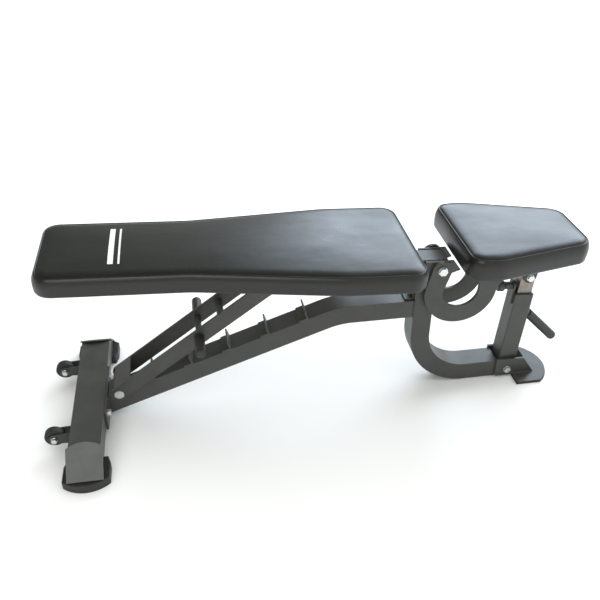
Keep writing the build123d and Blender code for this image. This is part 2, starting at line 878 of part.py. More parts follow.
def seat_outline(inset):
    """Plan of the seat: widest a third of the way along, narrower at the front."""
    back = pivot_x + seat_back_end + inset
    front = pivot_x + seat_front_end - inset
    wide_x = pivot_x + seat_wide_at
    wide = seat_half_width - inset
    tip = seat_tip_half_width - inset
    outline = Polygon(
        (back, -wide + 6), (wide_x, -wide), (front, -tip),
        (front, tip), (wide_x, wide), (back, wide - 6),
        align=None,
    )
    corners = outline.vertices().filter_by_position(Axis.X, back - 1, back + 1)
    outline = fillet(corners, 38 - inset)
    corners = outline.vertices().filter_by_position(Axis.X, front - 1, front + 1)
    outline = fillet(corners, 48 - inset)
    corners = outline.vertices().filter_by_position(Axis.X, wide_x - 1, wide_x + 1)
    return fillet(corners, 110)


def seat_board():
    z0 = pivot_z + seat_underside
    return on_seat(flat(seat_outline(board_inset), z0, z0 + board_thickness))


def seat_cushion():
    z0 = pivot_z + seat_underside
    cushion = padded_top(seat_outline(0), z0, z0 + seat_pad_thickness)
    return on_seat(cushion - flat(seat_outline(board_inset), z0 - 1, z0 + board_thickness))


def seat_bracket():
    """Channel under the seat whose slotted ears take the post's top bolt."""
    top = pivot_z + seat_underside - base_plate_thickness
    ear = Pos(post_top_x, post_top_z) * Circle(17)
    ear += Polygon(
        (post_top_x - 17, post_top_z), (post_top_x + 17, post_top_z),
        (post_top_x + 27, post_top_z + 50), (post_top_x + 27, top + 10),
        (post_top_x - 30, top + 10), (post_top_x - 30, post_top_z + 50),
        align=None,
    )
    bracket = upright(ear, -link_outer_y, -link_inner_y)
    bracket += upright(ear, link_inner_y, link_outer_y)
    web = block(post_top_x - 30, post_top_x + 27, -link_outer_y, link_outer_y, top - 30, top + 10)
    keep = on_seat(block(pivot_x, pivot_x + 400, -60, 60, top - 5, top))
    bracket += web & keep
    bracket -= on_seat(block(pivot_x, pivot_x + 400, -60, 60, top, top + 40))
    slot = SlotCenterToCenter(2 * link_slot_play, 2 * (post_bolt_radius + link_slot_gap))
    bracket -= upright(Pos(post_top_x, post_top_z) * slot, -link_outer_y - 1, link_outer_y + 1)
    return bracket


# ---------------------------------------------------------------- post
def on_post(part):
    """Place a part drawn upright from the foot bolt at the post's lean."""
    return Pos(post_foot_x, 0, post_foot_z) * Rot(0, post_axis_tilt, 0) * part


def square_tube(size, wall, z0, z1):
    half = size / 2
    tube = block(-half, half, -half, half, z0, z1)
    verticals = tube.edges().filter_by(Axis.Z)
    tube = fillet(verticals, 2.5)
    inner = half - wall
    return tube - block(-inner, inner, -inner, inner, z0 - 1, z1 + 1)


def post_outer():
    half = post_size / 2
    tube = square_tube(post_size, post_wall, -14, post_outer_top)
    return on_post(tube - bar_y(0, 0, post_bolt_radius + bolt_running_gap, -half - 1, half + 1))


def post_bush():
    """Plastic sleeve in the mouth of the outer tube that guides the inner one."""
    cavity = post_size / 2 - post_wall
    slide = inner_size / 2 + 0.1
    z0 = post_outer_top - 35
    bush = block(-cavity, cavity, -cavity, cavity, z0, post_outer_top)
    bush += block(
        -cavity - 2, cavity + 2, -cavity - 2, cavity + 2, post_outer_top, post_outer_top + 2
    )
    return on_post(bush - block(-slide, slide, -slide, slide, z0 - 1, post_outer_top + 3))


def post_inner():
    half = inner_size / 2
    tube = square_tube(inner_size, inner_wall, inner_bottom, post_length + 15)
    return on_post(tube - bar_y(0, post_length, post_bolt_radius, -half - 1, half + 1))


def seat_link_bolt():
    reach = link_outer_y + side_play
    bolt = bolt_y(0, post_length, post_bolt_radius, -reach, reach)
    for side in (-1, 1):
        y0, y1 = sorted((side * inner_size / 2, side * (link_inner_y - side_play)))
        bolt += bar_y(0, post_length, 8, y0, y1)
    return on_post(bolt)


def pin_lug():
    """Lug on the back of the outer tube with the threaded housing of the pull pin."""
    face = -post_size / 2
    lug = block(face - lug_thickness, face, -15, 15, pin_height - 48, pin_height + 15)
    lug = fillet(lug.edges().filter_by(Axis.X).sort_by(Axis.Z)[-2:], 10)
    outer = face - lug_thickness
    lug += bar_x(0, pin_height, housing_radius, outer - housing_length, outer)
    bore = pin_radius + bolt_running_gap
    return on_post(lug - bar_x(0, pin_height, bore, outer - housing_length - 1, face + 1))


def pull_pin():
    tip = -inner_size / 2 - pin_tip_gap
    rear = -post_size / 2 - lug_thickness - housing_length - 3
    return on_post(bar_x(0, pin_height, pin_radius, rear, tip))


def pull_knob():
    rear = -post_size / 2 - lug_thickness - housing_length - 3
    knob = bar_x(0, pin_height, knob_radius, rear - knob_length, rear)
    knob = fillet(knob.edges().filter_by(GeomType.CIRCLE), 4.0)
    return on_post(knob)


# ---------------------------------------------------------------- lift handle
def on_handle(part):
    """Place a part drawn along +X at the handle's slope."""
    drop = handle_start[1] - handle_end[1]
    run = handle_end[0] - handle_start[0]
    return Pos(handle_start[0], 0, handle_start[1]) * Rot(0, degrees(atan(drop / run)), 0) * part


def lift_handle():
    bar = on_handle(bar_x(0, 0, lift_bar_radius, -20, lift_length - 8))
    body = on_post(block(-60, post_size / 2, -40, 40, 0, post_outer_top))
    return bar - body


def lift_grip():
    grip = bar_x(0, 0, lift_grip_radius, lift_grip_start, lift_length)
    grip = fillet(grip.edges().filter_by(GeomType.CIRCLE).sort_by(Axis.X)[-1], 9.0)
    return on_handle(grip - bar_x(0, 0, lift_bar_radius, lift_grip_start - 1, lift_length - 8))


# ---------------------------------------------------------------- write the parts
save(rear_cross_tube(), "rear_cross_tube")
save(spine_flange(), "spine_flange")
save(flange_bolts(), "flange_bolts")
save(spine_tube(), "spine_tube")
save(ladder_rungs(), "ladder_rungs")
save(spine_gusset(), "spine_gusset")
save(front_tube(), "front_tube")
save(front_tube_cap(), "front_tube_cap")
save(main_pivot_bolt(), "main_pivot_bolt")
save(main_pivot_spacers(), "main_pivot_spacers")
save(post_clevis(), "post_clevis")
save(front_foot_plate(), "front_foot_plate")
save(front_foot_pad(), "front_foot_pad")
save(clevis_bolt(), "clevis_bolt")
save(clevis_spacers(), "clevis_spacers")
save(wheel_bolts(), "wheel_bolts")
save(back_tube(), "back_tube")
save(back_tube_caps(), "back_tube_caps")
save(back_straps(), "back_straps")
save(back_screws(), "back_screws")
save(back_board(), "back_board")
save(back_cushion(), "back_cushion")
save(strut_ears(), "strut_ears")
save(strut_pivot_bolt(), "strut_pivot_bolt")
save(strut_foot_plate(), "strut_foot_plate")
save(strut_foot_pin(), "strut_foot_pin")
save(strut_cross_bar(), "strut_cross_bar")
save(strut_handle_bar(), "strut_handle_bar")
save(seat_base_plate(), "seat_base_plate")
save(seat_bracket(), "seat_bracket")
save(seat_screws(), "seat_screws")
save(seat_board(), "seat_board")
save(seat_cushion(), "seat_cushion")
save(post_outer(), "post_outer")
save(post_bush(), "post_bush")
save(pin_lug(), "pin_lug")
save(lift_handle(), "lift_handle")
save(lift_grip(), "lift_grip")
save(post_inner(), "post_inner")
save(seat_link_bolt(), "seat_link_bolt")
save(pull_pin(), "pull_pin")
save(pull_knob(), "pull_knob")
for side, word in ((-1, "near"), (1, "far")):
    save(rear_end_plate(side), "rear_end_plate_" + word)
    save(rear_foot(side), "rear_foot_" + word)
    save(pivot_plate(side), "pivot_plate_" + word)
    save(wheel_bracket(side), "wheel_bracket_" + word)
    save(wheel_tyre(side), "wheel_tyre_" + word)
    save(wheel_hub(side), "wheel_hub_" + word)
    save(strut_rail(side), "strut_rail_" + word)
    save(strut_grip(side), "strut_grip_" + word)
    save(seat_arm(side), "seat_arm_" + word)
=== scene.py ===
"""Adjustable weight bench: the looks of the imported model, built round its CAD frame in metres."""
import json
import math

import bmesh
import bpy
import numpy as np
from mathutils import Matrix, Vector


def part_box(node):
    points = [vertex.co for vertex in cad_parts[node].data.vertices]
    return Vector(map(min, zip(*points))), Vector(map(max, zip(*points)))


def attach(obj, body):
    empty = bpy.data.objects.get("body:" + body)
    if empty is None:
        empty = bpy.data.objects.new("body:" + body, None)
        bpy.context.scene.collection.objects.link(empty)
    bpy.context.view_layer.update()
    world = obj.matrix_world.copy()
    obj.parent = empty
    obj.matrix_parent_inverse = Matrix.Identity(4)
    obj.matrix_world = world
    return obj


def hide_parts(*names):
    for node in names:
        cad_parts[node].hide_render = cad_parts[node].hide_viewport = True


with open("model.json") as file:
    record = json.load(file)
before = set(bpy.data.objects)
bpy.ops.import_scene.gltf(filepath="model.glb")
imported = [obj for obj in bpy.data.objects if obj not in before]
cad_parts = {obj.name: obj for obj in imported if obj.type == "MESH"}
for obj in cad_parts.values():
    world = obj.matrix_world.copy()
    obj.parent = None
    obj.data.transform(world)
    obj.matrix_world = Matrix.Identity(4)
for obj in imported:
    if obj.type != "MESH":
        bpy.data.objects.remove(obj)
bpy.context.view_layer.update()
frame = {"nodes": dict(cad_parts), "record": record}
bench = frame["nodes"]
scene = bpy.context.scene


# ------------------------------------------------------------------ room
# The bench stands on a plain pale studio floor.  A large cool softbox behind the seat end
# shows as the sheen on the vinyl, and the room is dimmer behind the head end.
camera_azimuth = math.radians(-9.42)
camera_elevation = math.radians(34.17)
camera_roll = math.radians(0.24)
camera_place = Vector((-0.283, -1.477, 1.308))
camera_lens = 43.6

looking = Vector((
    -math.sin(camera_azimuth) * math.cos(camera_elevation),
    math.cos(camera_azimuth) * math.cos(camera_elevation),
    -math.sin(camera_elevation),
))
level_right = looking.cross(Vector((0, 0, 1))).normalized()
level_up = level_right.cross(looking)
right = level_right * math.cos(camera_roll) + level_up * math.sin(camera_roll)
up = level_up * math.cos(camera_roll) - level_right * math.sin(camera_roll)
camera = bpy.data.objects.new("camera", bpy.data.cameras.new("camera"))
camera.data.lens = camera_lens
camera.data.sensor_width = 36.0
camera.matrix_world = Matrix((
    (right.x, up.x, -looking.x, camera_place.x),
    (right.y, up.y, -looking.y, camera_place.y),
    (right.z, up.z, -looking.z, camera_place.z),
    (0, 0, 0, 1),
))
scene.collection.objects.link(camera)
scene.camera = camera
scene.view_settings.view_transform = "Standard"


def softbox(name, place, aim, width, height, watts, colour):
    """A rectangular area light at a place, facing its aim."""
    lamp = bpy.data.lights.new(name, "AREA")
    lamp.shape = "RECTANGLE"
    lamp.size = width
    lamp.size_y = height
    lamp.energy = watts
    lamp.color = colour
    holder = bpy.data.objects.new(name, lamp)
    holder.location = place
    holder.rotation_euler = (Vector(aim) - Vector(place)).to_track_quat("-Z", "Y").to_euler()
    scene.collection.objects.link(holder)


# a cool window behind the seat end, a soft light in front, and an even light from above
softbox("window_light", (1.70, 2.3, 1.75), (0.40, 0, 0.45), 2.7, 1.6, 66, (0.72, 0.84, 1.0))
softbox("front_light", (-1.1, -2.6, 2.0), (0, 0, 0.3), 2.2, 1.2, 26, (1.0, 0.99, 0.96))
sky_light = bpy.data.objects.new("sky_light", bpy.data.lights.new("sky_light", "SUN"))
sky_light.data.energy = 2.5
sky_light.data.angle = math.radians(100)
sky_light.rotation_euler = (math.radians(-12), math.radians(8), 0)
sky_light.visible_glossy = False
scene.collection.objects.link(sky_light)

# the walls are bright towards the seat end and dim towards the head end and overhead, and
# the backdrop itself is plain pale
room = bpy.data.worlds.new("studio_room")
scene.world = room
room.use_nodes = True
room_nodes = room.node_tree.nodes
room_links = room.node_tree.links
direction = room_nodes.new("ShaderNodeTexCoord")
split_direction = room_nodes.new("ShaderNodeSeparateXYZ")
room_links.new(direction.outputs["Generated"], split_direction.inputs[0])
room_ramp = room_nodes.new("ShaderNodeMapRange")
room_ramp.inputs["From Min"].default_value = -0.28
room_ramp.inputs["From Max"].default_value = 0.42
room_ramp.inputs["To Min"].default_value = 0.26
room_ramp.inputs["To Max"].default_value = 1.05
room_links.new(split_direction.outputs["X"], room_ramp.inputs["Value"])
ceiling = room_nodes.new("ShaderNodeMapRange")
ceiling.inputs["From Min"].default_value = 0.45
ceiling.inputs["From Max"].default_value = 0.95
ceiling.inputs["To Min"].default_value = 1.0
ceiling.inputs["To Max"].default_value = 0.35
room_links.new(split_direction.outputs["Z"], ceiling.inputs["Value"])
room_strength = room_nodes.new("ShaderNodeMath")
room_strength.operation = "MULTIPLY"
room_links.new(room_ramp.outputs["Result"], room_strength.inputs[0])
room_links.new(ceiling.outputs["Result"], room_strength.inputs[1])
straight_on = room_nodes.new("ShaderNodeLightPath")
backdrop = room_nodes.new("ShaderNodeMix")
backdrop.inputs["B"].default_value = 1.02
room_links.new(straight_on.outputs["Is Camera Ray"], backdrop.inputs["Factor"])
room_links.new(room_strength.outputs[0], backdrop.inputs["A"])
room_links.new(backdrop.outputs["Result"], room_nodes["Background"].inputs["Strength"])
room_nodes["Background"].inputs["Color"].default_value = (0.95, 1.0, 0.94, 1)

floor_mesh = bpy.data.meshes.new("studio_floor")
floor_reach = 30.0
floor_mesh.from_pydata(
    [(-floor_reach, -floor_reach, 0), (floor_reach, -floor_reach, 0),
     (floor_reach, floor_reach, 0), (-floor_reach, floor_reach, 0)],
    [], [(0, 1, 2, 3)],
)
floor = bpy.data.objects.new("studio_floor", floor_mesh)
scene.collection.objects.link(floor)
floor_paint = bpy.data.materials.new("studio_floor_paint")
floor_paint.use_nodes = True
floor_shader = floor_paint.node_tree.nodes["Principled BSDF"]
floor_shader.inputs["Base Color"].default_value = (0.90, 0.90, 0.90, 1)
floor_shader.inputs["Roughness"].default_value = 0.9
floor_mesh.materials.append(floor_paint)


# ------------------------------------------------------------------ powder-coated steel
# The frame is rectangular steel tube and flat plate, welded, then powder coated satin black.
# The coat has a fine orange peel, its edges are soft, and it thins to grey on the corners.
def node_group(name, inputs, outputs):
    """An empty shader node group with float inputs and named outputs."""
    group = bpy.data.node_groups.new(name, "ShaderNodeTree")
    for label, value in inputs.items():
        socket = group.interface.new_socket(label, in_out="INPUT", socket_type="NodeSocketFloat")
        socket.default_value = value
    for label, kind in outputs.items():
        group.interface.new_socket(label, in_out="OUTPUT", socket_type="NodeSocket" + kind)
    entry = group.nodes.new("NodeGroupInput")
    leave = group.nodes.new("NodeGroupOutput")
    return group, entry, leave


def math_node(tree, operation, first, second=None):
    """A Math node; an argument is a socket or a number."""
    node = tree.nodes.new("ShaderNodeMath")
    node.operation = operation
    for index, value in enumerate((first, second)):
        if value is None:
            continue
        if isinstance(value, (int, float)):
            node.inputs[index].default_value = value
        else:
            tree.links.new(value, node.inputs[index])
    return node.outputs[0]


def noise_node(tree, scale, detail=3.0, roughness=0.55, stretch=(1, 1, 1)):
    """Noise over the piece's own coordinates, in features per metre."""
    place = tree.nodes.new("ShaderNodeTexCoord")
    mapping = tree.nodes.new("ShaderNodeMapping")
    mapping.inputs["Scale"].default_value = stretch
    noise = tree.nodes.new("ShaderNodeTexNoise")
    noise.inputs["Detail"].default_value = detail
    noise.inputs["Roughness"].default_value = roughness
    tree.links.new(place.outputs["Object"], mapping.inputs["Vector"])
    tree.links.new(mapping.outputs["Vector"], noise.inputs["Vector"])
    if isinstance(scale, (int, float)):
        noise.inputs["Scale"].default_value = scale
    else:
        tree.links.new(scale, noise.inputs["Scale"])
    return noise.outputs["Fac"]


def range_node(tree, value, low, high, to_low=0.0, to_high=1.0):
    node = tree.nodes.new("ShaderNodeMapRange")
    node.inputs["From Min"].default_value = low
    node.inputs["From Max"].default_value = high
    node.inputs["To Min"].default_value = to_low
    node.inputs["To Max"].default_value = to_high
    tree.links.new(value, node.inputs["Value"])
    return node.outputs["Result"]


# soft edges: the rounded normal of a corner, and a mask of where the corner is
soft_edges, entry, leave = node_group(
    "soft_edges", {"Radius": 0.0015}, {"Normal": "Vector", "Edge": "Float"}
)
bevel = soft_edges.nodes.new("ShaderNodeBevel")
bevel.samples = 2
flat = soft_edges.nodes.new("ShaderNodeNewGeometry")
agree = soft_edges.nodes.new("ShaderNodeVectorMath")
agree.operation = "DOT_PRODUCT"
soft_edges.links.new(entry.outputs["Radius"], bevel.inputs["Radius"])
soft_edges.links.new(bevel.outputs["Normal"], agree.inputs[0])
soft_edges.links.new(flat.outputs["Normal"], agree.inputs[1])
edge = range_node(soft_edges, agree.outputs["Value"], 0.995, 0.80)
soft_edges.links.new(bevel.outputs["Normal"], leave.inputs["Normal"])
soft_edges.links.new(edge, leave.inputs["Edge"])

# powder peel: a fine pebbled height, and slow mottling of the colour and gloss
powder_peel, entry, leave = node_group(
    "powder_peel", {"Peel scale": 900.0, "Mottle scale": 22.0},
    {"Height": "Float", "Mottle": "Float"},
)
fine = noise_node(powder_peel, entry.outputs["Peel scale"], 2.0)
slow = noise_node(powder_peel, entry.outputs["Mottle scale"], 5.0, 0.6)
powder_peel.links.new(fine, leave.inputs["Height"])
powder_peel.links.new(range_node(powder_peel, slow, 0.3, 0.7), leave.inputs["Mottle"])

# rubs: long faint scratches and small scuffed spots
rubs, entry, leave = node_group("rubs", {"Scale": 60.0, "Amount": 0.5}, {"Mask": "Float"})
long_rub = noise_node(rubs, entry.outputs["Scale"], 6.0, 0.7, (0.12, 1.0, 1.0))
cross_rub = noise_node(rubs, entry.outputs["Scale"], 6.0, 0.7, (1.0, 0.15, 0.6))
ridge = math_node(rubs, "MULTIPLY", range_node(rubs, long_rub, 0.60, 0.72),
                  range_node(rubs, cross_rub, 0.50, 0.66))
rubs.links.new(math_node(rubs, "MULTIPLY", ridge, entry.outputs["Amount"]), leave.inputs["Mask"])


def new_finish(name, roughness, metallic=0.0, coat=0.0, coat_roughness=0.1):
    """A material with its Principled shader, whose constant sockets are set directly."""
    material = bpy.data.materials.new(name)
    material.use_nodes = True
    shader = material.node_tree.nodes["Principled BSDF"]
    shader.inputs["Roughness"].default_value = roughness
    shader.inputs["Metallic"].default_value = metallic
    shader.inputs["Coat Weight"].default_value = coat
    shader.inputs["Coat Roughness"].default_value = coat_roughness
    return material, material.node_tree, shader


def placed(tree, group, **values):
    """A node group in a material, with its own values."""
    node = tree.nodes.new("ShaderNodeGroup")
    node.node_tree = group
    for label, value in values.items():
        node.inputs[label.replace("_", " ")].default_value = value
    return node


def mixed(tree, mask, first, second):
    """Two colours, or a colour socket and a colour, mixed by a mask socket."""
    node = tree.nodes.new("ShaderNodeMix")
    node.data_type = "RGBA"
    tree.links.new(mask, node.inputs["Factor"])
    for socket, value in ((node.inputs[6], first), (node.inputs[7], second)):
        if isinstance(value, tuple):
            socket.default_value = (*value, 1)
        else:
            tree.links.new(value, socket)
    return node.outputs[2]


def bumped(tree, shader, height, distance, normal=None, strength=1.0):
    """Feed a height through a Bump node to the shader's Normal."""
    bump = tree.nodes.new("ShaderNodeBump")
    bump.inputs["Distance"].default_value = distance
    bump.inputs["Strength"].default_value = strength
    tree.links.new(height, bump.inputs["Height"])
    if normal is not None:
        tree.links.new(normal, bump.inputs["Normal"])
    tree.links.new(bump.outputs["Normal"], shader.inputs["Normal"])


def painted_steel(name, dark, light, worn, gloss, wear):
    """Powder coat: colour between dark and light by mottling, worn on the corners."""
    material, tree, shader = new_finish(name, gloss)
    edges = placed(tree, soft_edges, Radius=0.0016)
    peel = placed(tree, powder_peel, Peel_scale=850.0, Mottle_scale=16.0)
    rub = placed(tree, rubs, Scale=55.0, Amount=0.35)
    coat_colour = mixed(tree, peel.outputs["Mottle"], dark, light)
    patchy = range_node(tree, noise_node(tree, 38.0, 4.0), 0.42, 0.72, 0.0, wear)
    corner = math_node(tree, "MULTIPLY", edges.outputs["Edge"], patchy)
    mask = math_node(tree, "MAXIMUM", corner, math_node(tree, "MULTIPLY", rub.outputs["Mask"], wear))
    tree.links.new(mixed(tree, mask, coat_colour, worn), shader.inputs["Base Color"])
    rough = range_node(tree, peel.outputs["Mottle"], 0.0, 1.0, gloss - 0.05, gloss + 0.07)
    tree.links.new(math_node(tree, "ADD", rough, rub.outputs["Mask"]), shader.inputs["Roughness"])
    bumped(tree, shader, peel.outputs["Height"], 0.00012, edges.outputs["Normal"])
    return material


def give(material, *names):
    """Give CAD nodes their material in every slot."""
    for name in names:
        mesh = bench[name].data
        if not mesh.materials:
            mesh.materials.append(material)
        for index in range(len(mesh.materials)):
            mesh.materials[index] = material


black_coat = painted_steel(
    "black_powder_coat", (0.038, 0.039, 0.035), (0.054, 0.055, 0.049), (0.20, 0.20, 0.19), 0.40, 0.5
)
give(
    black_coat,
    "rear_cross_tube", "spine_flange", "spine_tube", "ladder_rungs", "spine_gusset",
    "front_tube", "pivot_plate_near", "pivot_plate_far", "post_clevis", "front_foot_plate",
    "wheel_bracket_near", "wheel_bracket_far", "back_tube", "back_straps", "strut_ears",
    "strut_rail_near", "strut_rail_far", "strut_foot_plate", "strut_cross_bar",
    "strut_handle_bar", "seat_arm_near", "seat_arm_far", "seat_base_plate", "seat_bracket",
    "post_outer", "pin_lug", "lift_handle",
)


# ------------------------------------------------------------------ weld beads
# Every joint of the frame is a MIG weld under the powder coat: a low rippled bead that
# lies in the corner, laid in one pass, with a rounded start and end.
bead_half = 0.0026
bead_ripple = 0.0022


def new_piece(name, mesh, body, material):
    """A mesh as a piece of the bench that rides on a body."""
    piece = bpy.data.objects.new(name, mesh)
    scene.collection.objects.link(piece)
    mesh.materials.append(material)
    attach(piece, body)
    return piece


def add_tube(mesh, points, radius_at, sides=8, closed=False):
    """Add a round tube along points to a bmesh; radius_at gives its radius at each index."""
    rings = []
    count = len(points)
    for index, point in enumerate(points):
        before = points[index - 1] if index or closed else point
        after = points[(index + 1) % count] if index < count - 1 or closed else point
        run = (after - before).normalized()
        side = run.cross(Vector((0.31, 0.17, 0.93))).normalized()
        lift = side.cross(run)
        ring = []
        for step in range(sides):
            turn = 2 * math.pi * step / sides
            offset = side * math.cos(turn) + lift * math.sin(turn)
            ring.append(mesh.verts.new(point + offset * radius_at(index)))
        rings.append(ring)
    last = count if closed else count - 1
    for index in range(last):
        here, there = rings[index], rings[(index + 1) % count]
        for step in range(sides):
            following = (step + 1) % sides
            mesh.faces.new((here[step], here[following], there[following], there[step]))
    if not closed:
        mesh.faces.new(list(reversed(rings[0])))
        mesh.faces.new(rings[-1])


def finished_mesh(mesh, name):
    """Turn a bmesh into a smooth-shaded mesh with its faces outward."""
    bmesh.ops.recalc_face_normals(mesh, faces=mesh.faces)
    data = bpy.data.meshes.new(name)
    mesh.to_mesh(data)
    mesh.free()
    for face in data.polygons:
        face.use_smooth = True
    return data


def add_bead(mesh, start, end):
    """One rippled bead from start to end."""
    start, end = Vector(start), Vector(end)
    steps = max(4, round((end - start).length / bead_ripple * 4))
    points = [start.lerp(end, index / steps) for index in range(steps + 1)]

    def radius(index):
        ends = min(1.0, min(index, steps - index) / 3 + 0.35)
        return bead_half * ends * (1.0 + 0.13 * math.cos(math.pi * index / 2))

    add_tube(mesh, points, radius, 8)


def islands(node):
    """The vertices of each separate solid of a CAD node, from low X to high X."""
    mesh = bmesh.new()
    mesh.from_mesh(bench[node].data)
    bmesh.ops.remove_doubles(mesh, verts=mesh.verts, dist=1e-6)
    left = set(mesh.verts)
    found = []
    while left:
        stack = [left.pop()]
        group = []
        while stack:
            vertex = stack.pop()
            group.append(vertex.co.copy())
            for edge_here in vertex.link_edges:
                other = edge_here.other_vert(vertex)
                if other in left:
                    left.remove(other)
                    stack.append(other)
        found.append(group)
    mesh.free()
    return sorted(found, key=lambda group: min(point.x for point in group))


frame_welds = bmesh.new()
rung_solids = islands("ladder_rungs")
rung_inset = 0.004
for solid in rung_solids:
    toe = min(solid, key=lambda point: point.x + point.z)
    half = max(point.y for point in solid) - rung_inset
    add_bead(frame_welds, (toe.x, -half, toe.z + 0.001), (toe.x, half, toe.z + 0.001))
upright_low, upright_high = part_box("front_tube")
gusset_low, gusset_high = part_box("spine_gusset")
tube_half = upright_high.y
spine_depth = 0.050
upright_depth = 0.049
for side in (-1, 1):
    y = side * tube_half
    add_bead(
        frame_welds, (upright_low.x, y, gusset_low.z - spine_depth),
        (upright_low.x, y, gusset_low.z),
    )
    plate_low, plate_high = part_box("pivot_plate_near" if side < 0 else "pivot_plate_far")
    add_bead(
        frame_welds, (plate_low.x + 0.002, y, plate_low.z),
        (upright_low.x + upright_depth, y, plate_low.z),
    )
    add_bead(
        frame_welds, (plate_low.x, y, plate_low.z + 0.002),
        (plate_low.x, y, upright_high.z - 0.002),
    )
add_bead(
    frame_welds, (upright_low.x, -tube_half, gusset_low.z - spine_depth),
    (upright_low.x, tube_half, gusset_low.z - spine_depth),
)
flange_low, flange_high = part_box("spine_flange")
for side in (-1, 1):
    add_bead(
        frame_welds, (flange_high.x, side * tube_half, flange_low.z + 0.004),
        (flange_high.x, side * tube_half, flange_high.z - 0.001),
    )
cross_low, cross_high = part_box("rear_cross_tube")
for end in ("near", "far"):
    cap_low, cap_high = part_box("rear_end_plate_" + end)
    y = cap_high.y - 0.012 if end == "near" else cap_low.y + 0.012
    add_bead(
        frame_welds, (cross_low.x + 0.004, y, cross_high.z),
        (cross_high.x - 0.004, y, cross_high.z),
    )
clevis_low, clevis_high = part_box("post_clevis")
for side in (-1, 1):
    y = side * tube_half
    add_bead(
        frame_welds, (clevis_low.x, y, clevis_low.z + 0.003),
        (clevis_low.x, y, clevis_high.z - 0.009),
    )
    y = side * clevis_high.y
    add_bead(
        frame_welds, (clevis_low.x + 0.003, y, clevis_low.z),
        (clevis_high.x - 0.004, y, clevis_low.z),
    )
new_piece("frame_welds", finished_mesh(frame_welds, "frame_welds"), "frame", black_coat)


# ------------------------------------------------------------------ rear foot
# The cross tube's slanted ends are closed by flat steel plates in a lighter grey coat, and
# stand in moulded black rubber feet with a fine moulded grain.
grey_coat = painted_steel(
    "grey_powder_coat", (0.080, 0.083, 0.079), (0.115, 0.119, 0.114), (0.34, 0.34, 0.33), 0.42, 0.5
)
give(grey_coat, "rear_end_plate_near", "rear_end_plate_far")


def moulded(name, dark, light, gloss, grain_scale, grain_depth, edge_radius):
    """Moulded rubber or plastic: fine grain, mottled colour, paler on rubbed corners."""
    material, tree, shader = new_finish(name, gloss)
    edges = placed(tree, soft_edges, Radius=edge_radius)
    grain = placed(tree, powder_peel, Peel_scale=grain_scale, Mottle_scale=30.0)
    rub = placed(tree, rubs, Scale=80.0, Amount=0.5)
    base = mixed(tree, grain.outputs["Mottle"], dark, light)
    pale = tuple(min(1.0, value * 2.2) for value in light)
    patchy = math_node(tree, "MULTIPLY", edges.outputs["Edge"], 0.35)
    mask = math_node(tree, "MAXIMUM", patchy, rub.outputs["Mask"])
    tree.links.new(mixed(tree, mask, base, pale), shader.inputs["Base Color"])
    rough = range_node(tree, grain.outputs["Mottle"], 0.0, 1.0, gloss - 0.06, gloss + 0.08)
    tree.links.new(rough, shader.inputs["Roughness"])
    bumped(tree, shader, grain.outputs["Height"], grain_depth, edges.outputs["Normal"])
    return material


black_rubber = moulded(
    "black_rubber", (0.012, 0.012, 0.012), (0.022, 0.022, 0.021), 0.55, 700.0, 0.00025, 0.002
)
give(black_rubber, "rear_foot_near", "rear_foot_far", "front_foot_pad")


# ------------------------------------------------------------------ zinc hardware
# Bolts, nuts, washers and pins are zinc-plated steel: bright, faintly blue, with fine
# turning marks and dull patches where the plating is thin.
zinc, tree, shader = new_finish("zinc_plating", 0.3, metallic=1.0)
edges = placed(tree, soft_edges, Radius=0.0007)
plating = placed(tree, powder_peel, Peel_scale=1400.0, Mottle_scale=120.0)
rub = placed(tree, rubs, Scale=160.0, Amount=0.5)
bright = mixed(tree, plating.outputs["Mottle"], (0.60, 0.62, 0.65), (0.82, 0.83, 0.84))
tree.links.new(mixed(tree, rub.outputs["Mask"], bright, (0.36, 0.35, 0.33)), shader.inputs["Base Color"])
tree.links.new(range_node(tree, plating.outputs["Mottle"], 0, 1, 0.24, 0.40), shader.inputs["Roughness"])
bumped(tree, shader, plating.outputs["Height"], 0.00006, edges.outputs["Normal"])
give(
    zinc,
    "flange_bolts", "main_pivot_bolt", "main_pivot_spacers", "clevis_bolt", "clevis_spacers",
    "wheel_bolts", "back_screws", "strut_pivot_bolt", "strut_foot_pin", "seat_screws",
    "seat_link_bolt", "pull_pin",
)


# ------------------------------------------------------------------ transport wheels
# Two small wheels on brackets behind the cross tube: a rubber tyre on a nylon hub.
tyre_rubber = moulded(
    "tyre_rubber", (0.014, 0.014, 0.014), (0.024, 0.023, 0.022), 0.62, 520.0, 0.0003, 0.0015
)
hub_nylon = moulded(
    "hub_nylon", (0.030, 0.030, 0.031), (0.046, 0.046, 0.047), 0.38, 900.0, 0.00008, 0.0008
)
for end in ("near", "far"):
    give(tyre_rubber, "wheel_tyre_" + end)
    give(hub_nylon, "wheel_hub_" + end)
give(hub_nylon, "back_tube_caps", "front_tube_cap", "post_bush")


# ------------------------------------------------------------------ pad boards
# Each pad is built on a sheet of plywood, 12 mm thick, seen from below inside the vinyl's
# stapled hem: long pale grain and darker growth lines.
plywood, tree, shader = new_finish("pad_plywood", 0.62)
long_grain = noise_node(tree, 26.0, 8.0, 0.62, (0.35, 6.0, 1.0))
fibre = noise_node(tree, 420.0, 3.0, 0.5, (0.06, 1.0, 1.0))
wood = mixed(tree, range_node(tree, long_grain, 0.35, 0.65), (0.30, 0.19, 0.10), (0.50, 0.35, 0.20))
wood = mixed(tree, range_node(tree, fibre, 0.45, 0.75, 0.0, 0.6), wood, (0.22, 0.13, 0.07))
tree.links.new(wood, shader.inputs["Base Color"])
tree.links.new(range_node(tree, fibre, 0.3, 0.7, 0.52, 0.75), shader.inputs["Roughness"])
bumped(tree, shader, fibre, 0.0002)
give(plywood, "back_board", "seat_board")


